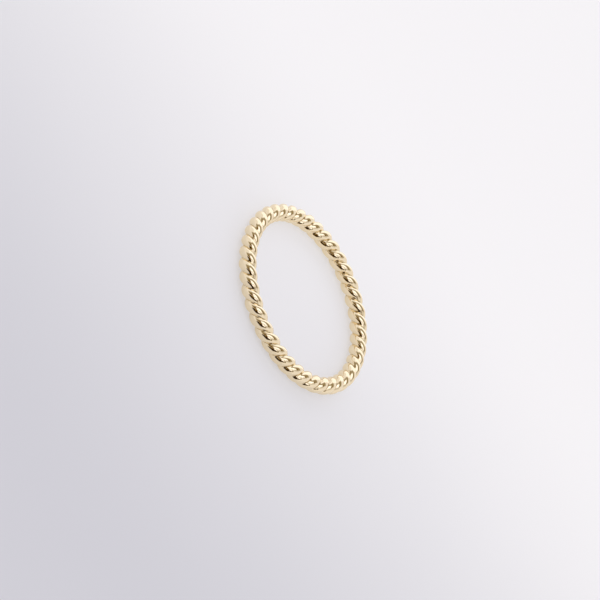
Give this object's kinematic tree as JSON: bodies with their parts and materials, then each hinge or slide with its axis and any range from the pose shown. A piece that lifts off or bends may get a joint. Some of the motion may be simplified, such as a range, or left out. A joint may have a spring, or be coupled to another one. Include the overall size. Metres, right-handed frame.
{
  "type": "rope twist ring",
  "caption": "Slim finger ring of polished yellow gold: two round-backed wires twisted round each other like a rope and closed into an even band.",
  "frame": {"origin": "middle of the finger hole, on the surface that the ring lies on", "axes": "+Z along the finger hole, up from the surface; +X and +Y across the ring, with strand_1 outermost where the band crosses the X axis"},
  "size_m": [0.021, 0.021, 0.0019],
  "materials": {
    "polished_gold": "polished"
  },
  "bodies": {
    "root": {"strand_1": "polished_gold", "strand_2": "polished_gold"}
  },
  "joints": []
}
